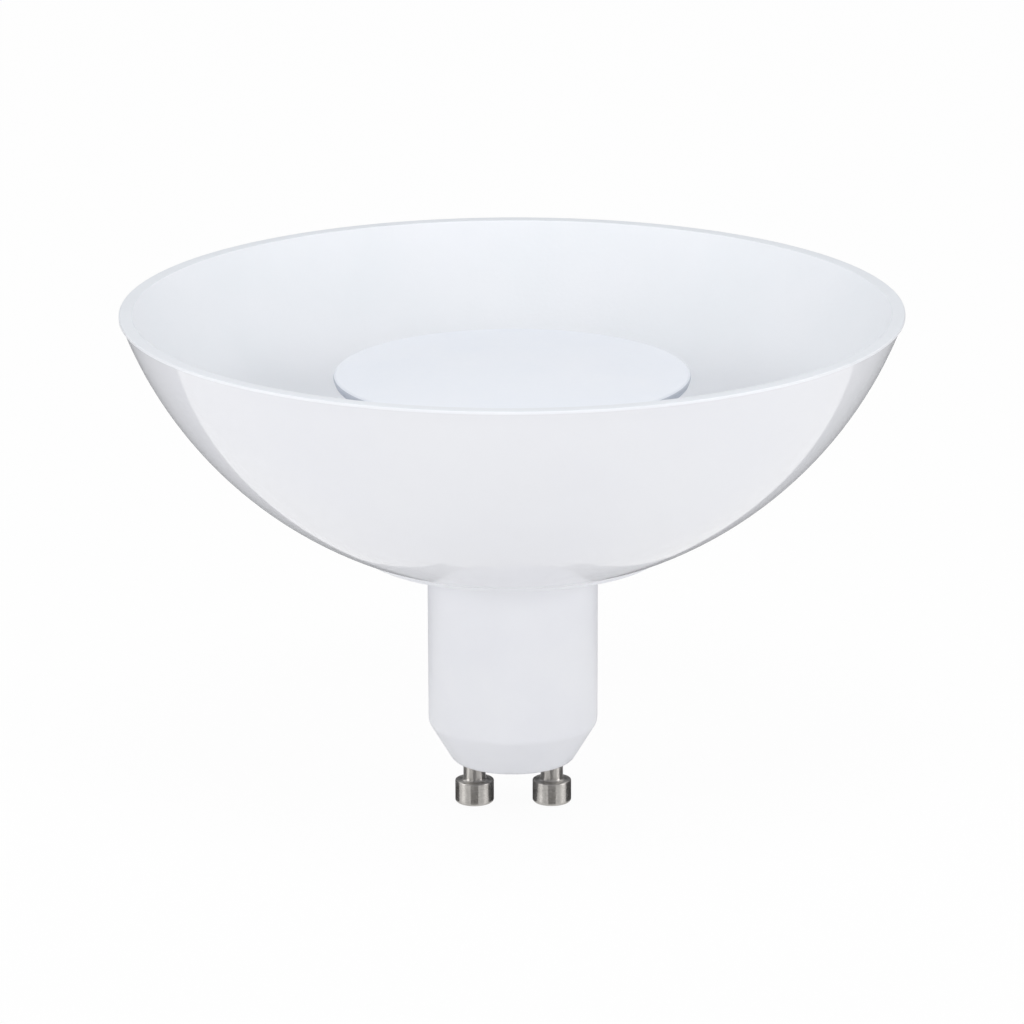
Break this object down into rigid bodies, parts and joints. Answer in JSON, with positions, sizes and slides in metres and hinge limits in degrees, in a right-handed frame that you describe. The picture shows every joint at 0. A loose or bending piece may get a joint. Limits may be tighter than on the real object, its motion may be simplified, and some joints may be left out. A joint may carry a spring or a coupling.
{
  "type": "led spot bulb",
  "caption": "LED spot bulb with a wide white bowl reflector around a domed opal light face, on a round neck with a twist-lock pin cap.",
  "frame": {"origin": "centre of the cap's face, midway between the two contact pins", "axes": "+Z along the lamp's axis, the way the light leaves; +X through the contact pins"},
  "size_m": [0.1, 0.1, 0.0657],
  "materials": {
    "bowl_gloss_white": "moulded white polycarbonate, glossy outside and fine-textured inside",
    "housing_matte_white": "moulded white PBT, fine matte",
    "opal_cover": "moulded opal polycarbonate, satin",
    "nickel_plate": "turned brass with nickel plating, lightly brushed",
    "pressed_aluminium": "pressed sheet, bare",
    "white_solder_mask": "metal-core board with white solder mask",
    "phosphor": "yellow phosphor in a moulded package",
    "green_laminate": "glass-fibre laminate with green solder mask",
    "capacitor_sleeve": "shrunk black sleeve",
    "film_coating": "dipped epoxy",
    "ferrite": "sintered and tumbled",
    "enamelled_copper": "wound enamelled wire",
    "black_epoxy": "moulded epoxy package",
    "resistor_coating": "sprayed flame-proof coating",
    "brown_insulation": "extruded insulation",
    "blue_insulation": "extruded insulation",
    "red_insulation": "extruded insulation",
    "black_insulation": "extruded insulation"
  },
  "bodies": {
    "root": {"reflector_bowl": "bowl_gloss_white", "base_housing": "housing_matte_white", "lamp_body": "housing_matte_white", "diffuser_cover": "opal_cover", "contact_pin_left": "nickel_plate", "contact_pin_right": "nickel_plate", "heat_sink_cup": "pressed_aluminium", "led_board": "white_solder_mask", "led_chips": "phosphor", "driver_board": "green_laminate", "electrolytic_capacitor": "capacitor_sleeve", "film_capacitor": "film_coating", "choke_core": "ferrite", "choke_winding": "enamelled_copper", "bridge_rectifier": "black_epoxy", "driver_chip": "black_epoxy", "fuse_resistor": "resistor_coating", "live_lead": "brown_insulation", "neutral_lead": "blue_insulation", "led_lead_positive": "red_insulation", "led_lead_negative": "black_insulation"}
  },
  "joints": []
}
